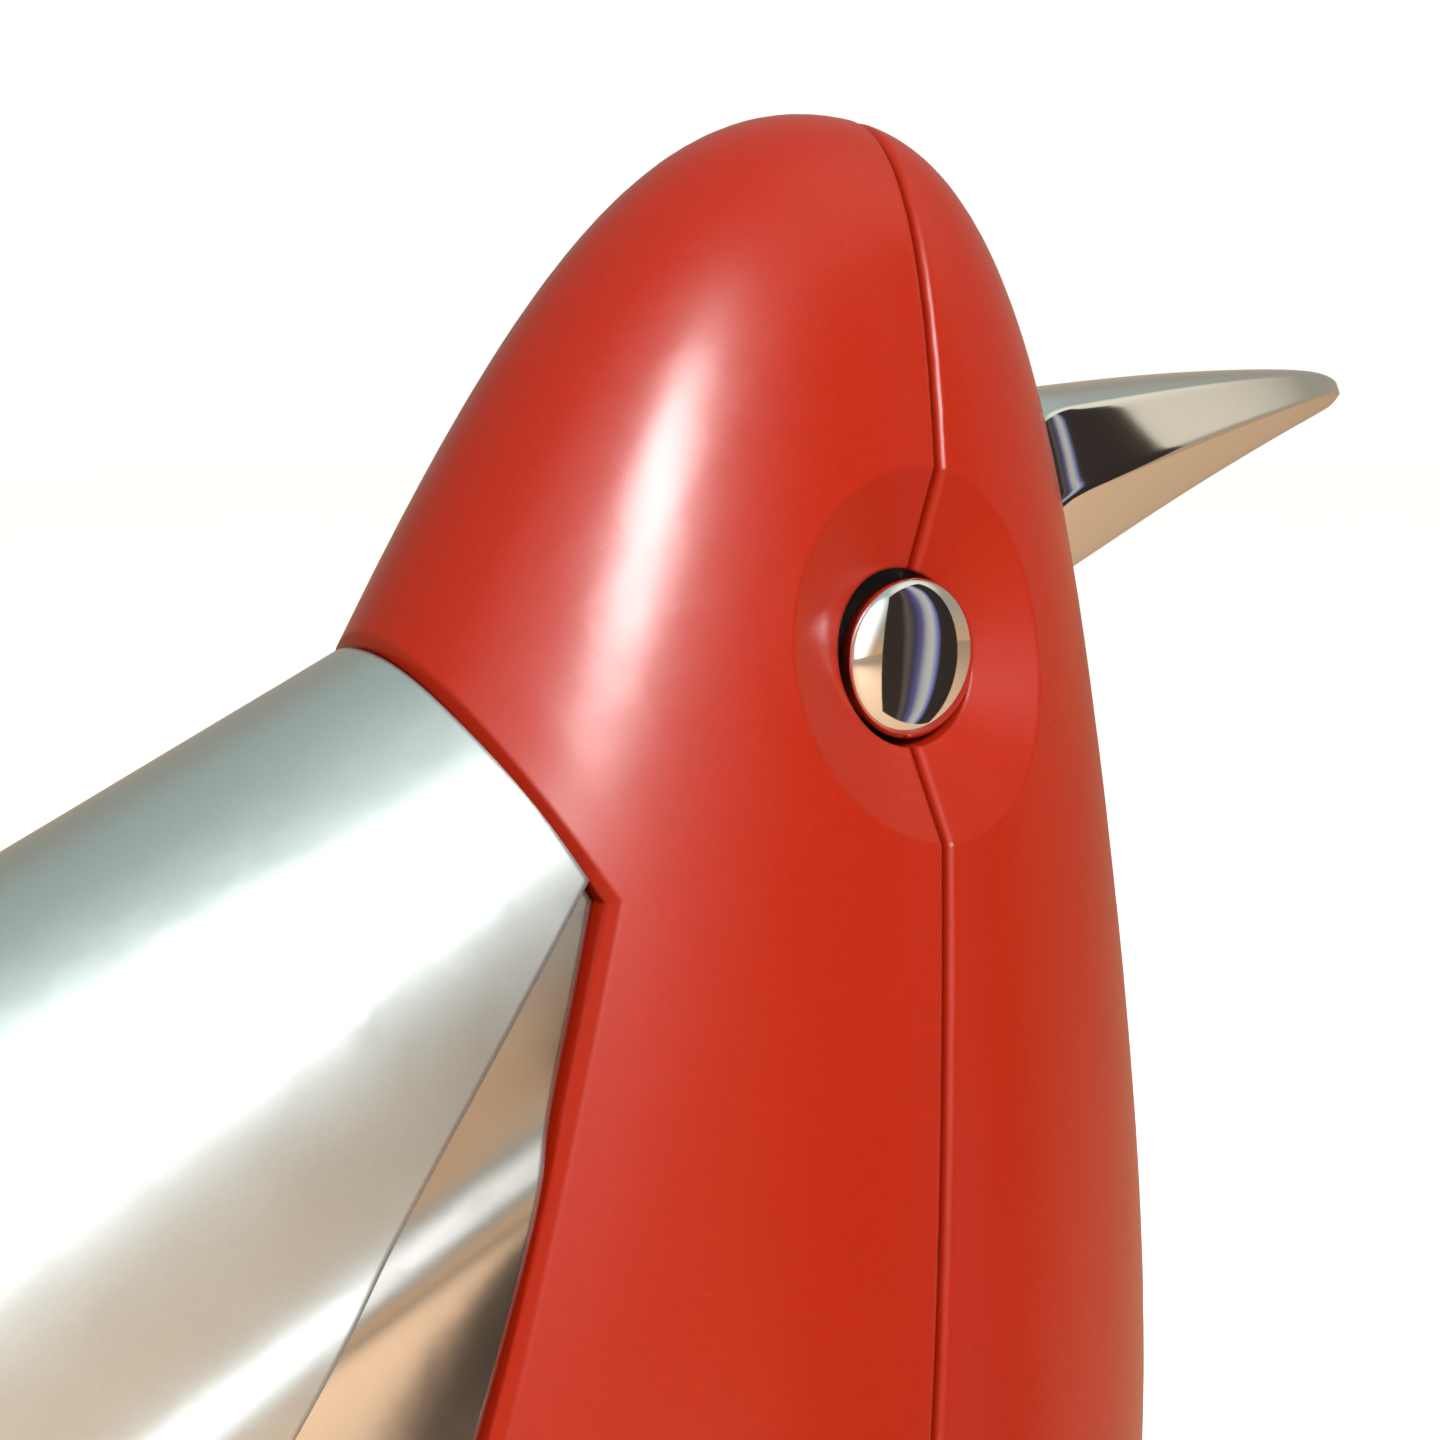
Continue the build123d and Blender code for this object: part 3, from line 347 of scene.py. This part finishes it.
def placeCamera():
    turn, lift = radians(view["azimuth"]), radians(view["elevation"])
    back = Vector((sin(turn) * cos(lift), -cos(turn) * cos(lift), sin(lift)))
    right = Vector((cos(turn), sin(turn), 0))
    up = back.cross(right)
    data = bpy.data.cameras.new("camera")
    data.lens = view["lens"]
    data.clip_start = 0.005
    data.clip_end = 20
    camera = bpy.data.objects.new("camera", data)
    bpy.context.scene.collection.objects.link(camera)
    aim = view["aimPoint"] + right * view["aimRight"] + up * view["aimUp"]
    camera.location = aim + back * view["distance"]
    camera.rotation_euler = Matrix((right, up, back)).transposed().to_euler()
    bpy.context.scene.camera = camera


placeCamera()


# ---- floor and light

room = {
    "floorSize": 6.0,
    "floorSeen": (0.85, 0.85, 0.84),
    "floorMirrored": (0.66, 0.43, 0.27),
    "floorGlow": (0.15, 0.75),  # in reflections, and to the camera
    "floorRoughness": (0.65, 0.75),
    "heights": [  # the room from floor to ceiling, 0 to 1, and its colour there
        (0.48, (0.66, 0.40, 0.22)), (0.60, (0.38, 0.355, 0.30)),
        (0.75, (0.38, 0.355, 0.30)), (0.95, (0.44, 0.53, 0.51)),
    ],
    "mirrorStrength": 1.0,
    "fillStrength": 0.5,
    "glows": [  # way, colour, and the cosine where it fades out
        ((-0.42, -0.74, 0.40), (1.9, 1.95, 2.0), 0.72),
        ((0.56, -0.42, 0.71), (0.55, 0.50, 0.40), 0.86),
    ],
    "keyPower": 8.0,
    "keySize": (0.14, 0.27),
    "keyWay": (-0.22, -0.77, 0.60),
    "keyDistance": 0.8,
    "darkWay": (0.58, -0.80, 0.0),
    "darkDistance": 0.17,
    "darkSize": (0.145, 0.29),
    "darkColor": (0.01, 0.008, 0.007),
    "darkSway": 0.16,
    "darkStripes": [  # across the card, 0 to 1
        (0.0, (0.020, 0.014, 0.012)), (0.36, (0.024, 0.018, 0.018)), (0.40, (0.20, 0.23, 0.50)),
        (0.45, (0.55, 0.54, 0.50)), (0.51, (0.46, 0.45, 0.42)), (0.57, (0.11, 0.10, 0.26)),
        (0.63, (0.05, 0.04, 0.07)), (0.70, (0.11, 0.09, 0.07)), (0.77, (0.026, 0.019, 0.016)),
    ],
}


def fillRamp(node, stops):
    while len(node.color_ramp.elements) < len(stops):
        node.color_ramp.elements.new(0.5)
    for element, (position, color) in zip(node.color_ramp.elements, stops):
        element.position = position
        element.color = (*color, 1)


def addSoftbox(name, way, distance, size, power, color=(1, 1, 1)):
    data = bpy.data.lights.new(name, "AREA")
    data.shape = "RECTANGLE"
    data.size, data.size_y = size
    data.energy = power
    data.color = color
    lamp = bpy.data.objects.new(name, data)
    bpy.context.scene.collection.objects.link(lamp)
    way = Vector(way).normalized()
    lamp.location = view["aimPoint"] + way * distance
    lamp.rotation_euler = way.to_track_quat("Z", "Y").to_euler()
    return lamp


def makeFloorMaterial():
    # near white to the camera, warm in reflections
    mat, shader = newMaterial("paleFloor", room["floorSeen"], room["floorRoughness"][1])
    rays = addNode(mat, "ShaderNodeLightPath")
    mix = addNode(mat, "ShaderNodeMix", data_type="RGBA")
    mix.inputs[6].default_value = (*room["floorMirrored"], 1)
    mix.inputs[7].default_value = (*room["floorSeen"], 1)
    glow = addNode(mat, "ShaderNodeMapRange")
    glow.inputs["To Min"].default_value, glow.inputs["To Max"].default_value = room["floorGlow"]
    grain = addGrain(mat, 900, 6, *room["floorRoughness"])
    join(mat, grain.outputs["Value"], shader.inputs["Roughness"])
    join(mat, rays.outputs["Is Camera Ray"], mix.inputs[0])
    join(mat, rays.outputs["Is Camera Ray"], glow.inputs["Value"])
    join(mat, mix.outputs[2], shader.inputs["Base Color"])
    join(mat, mix.outputs[2], shader.inputs["Emission Color"])
    join(mat, glow.outputs["Result"], shader.inputs["Emission Strength"])
    return mat


def makeWorld():
    # white behind the object; to everything else a grey ceiling over a warm horizon, with two soft glows
    world = bpy.data.worlds.new("studio")
    world.use_nodes = True
    tree = world.node_tree
    links = tree.links
    back = tree.nodes["Background"]
    plain = tree.nodes.new("ShaderNodeBackground")
    plain.inputs["Color"].default_value = (1, 1, 1, 1)
    choose = tree.nodes.new("ShaderNodeMixShader")
    rays = tree.nodes.new("ShaderNodeLightPath")
    place = tree.nodes.new("ShaderNodeTexCoord")
    split = tree.nodes.new("ShaderNodeSeparateXYZ")
    height = tree.nodes.new("ShaderNodeMapRange")
    height.inputs["From Min"].default_value = -1
    ramp = tree.nodes.new("ShaderNodeValToRGB")
    fillRamp(ramp, room["heights"])
    links.new(place.outputs["Generated"], split.inputs["Vector"])
    links.new(split.outputs["Z"], height.inputs["Value"])
    links.new(height.outputs["Result"], ramp.inputs["Fac"])
    total = ramp.outputs["Color"]
    for way, color, tight in room["glows"]:
        dot = tree.nodes.new("ShaderNodeVectorMath")
        dot.operation = "DOT_PRODUCT"
        dot.inputs[1].default_value = Vector(way).normalized()
        fade = tree.nodes.new("ShaderNodeMapRange")
        fade.interpolation_type = "SMOOTHSTEP"
        fade.inputs["From Min"].default_value = tight
        add = tree.nodes.new("ShaderNodeMix")
        add.data_type = "RGBA"
        add.blend_type = "ADD"
        add.inputs[7].default_value = (*color, 1)
        links.new(place.outputs["Generated"], dot.inputs[0])
        links.new(dot.outputs["Value"], fade.inputs["Value"])
        links.new(fade.outputs["Result"], add.inputs[0])
        links.new(total, add.inputs[6])
        total = add.outputs[2]
    links.new(total, back.inputs["Color"])
    power = tree.nodes.new("ShaderNodeMapRange")
    power.inputs["To Min"].default_value = room["mirrorStrength"]
    power.inputs["To Max"].default_value = room["fillStrength"]
    links.new(rays.outputs["Is Diffuse Ray"], power.inputs["Value"])
    links.new(power.outputs["Result"], back.inputs["Strength"])
    links.new(rays.outputs["Is Camera Ray"], choose.inputs["Fac"])
    links.new(back.outputs["Background"], choose.inputs[1])
    links.new(plain.outputs["Background"], choose.inputs[2])
    links.new(choose.outputs["Shader"], tree.nodes["World Output"].inputs["Surface"])
    bpy.context.scene.world = world


def makeDarkCard():
    # the open side of the light tent, seen only in reflections: dark, with pale stripes standing in it
    bpy.ops.object.select_all(action="DESELECT")
    bpy.ops.mesh.primitive_plane_add(size=1)
    card = bpy.context.active_object
    card.name = "darkCard"
    card.scale = (*room["darkSize"], 1)
    way = Vector(room["darkWay"]).normalized()
    spot = view["aimPoint"] + way * room["darkDistance"]
    card.location = (spot.x, spot.y, room["darkSize"][1] / 2)
    card.rotation_euler = (-way).to_track_quat("Z", "Y").to_euler()
    mat, shader = newMaterial("darkCard", room["darkColor"], 0.9)
    shader.inputs["Emission Strength"].default_value = 1.0
    place = addNode(mat, "ShaderNodeTexCoord")
    sway = addNode(mat, "ShaderNodeTexNoise", Scale=2.2, Detail=1.0)
    shift = addNode(mat, "ShaderNodeMath", operation="MULTIPLY_ADD")
    shift.inputs[1].default_value = room["darkSway"]
    split = addNode(mat, "ShaderNodeSeparateXYZ")
    ramp = addNode(mat, "ShaderNodeValToRGB")
    fillRamp(ramp, room["darkStripes"])
    join(mat, place.outputs["Generated"], sway.inputs["Vector"])
    join(mat, place.outputs["Generated"], split.inputs["Vector"])
    join(mat, sway.outputs["Fac"], shift.inputs[0])
    join(mat, split.outputs["X"], shift.inputs[2])
    join(mat, shift.outputs["Value"], ramp.inputs["Fac"])
    join(mat, ramp.outputs["Color"], shader.inputs["Emission Color"])
    card.data.materials.append(mat)
    card.visible_camera = False
    card.visible_shadow = False
    card.visible_diffuse = False


bpy.ops.object.select_all(action="DESELECT")
bpy.ops.mesh.primitive_plane_add(size=room["floorSize"], location=(0, 0, 0))
floor = bpy.context.active_object
floor.name = "floor"
floor.data.materials.append(makeFloorMaterial())
makeWorld()
makeDarkCard()
addSoftbox("keyBox", room["keyWay"], room["keyDistance"], room["keySize"], room["keyPower"])
bpy.context.scene.view_settings.view_transform = "Standard"
print("camera and light")
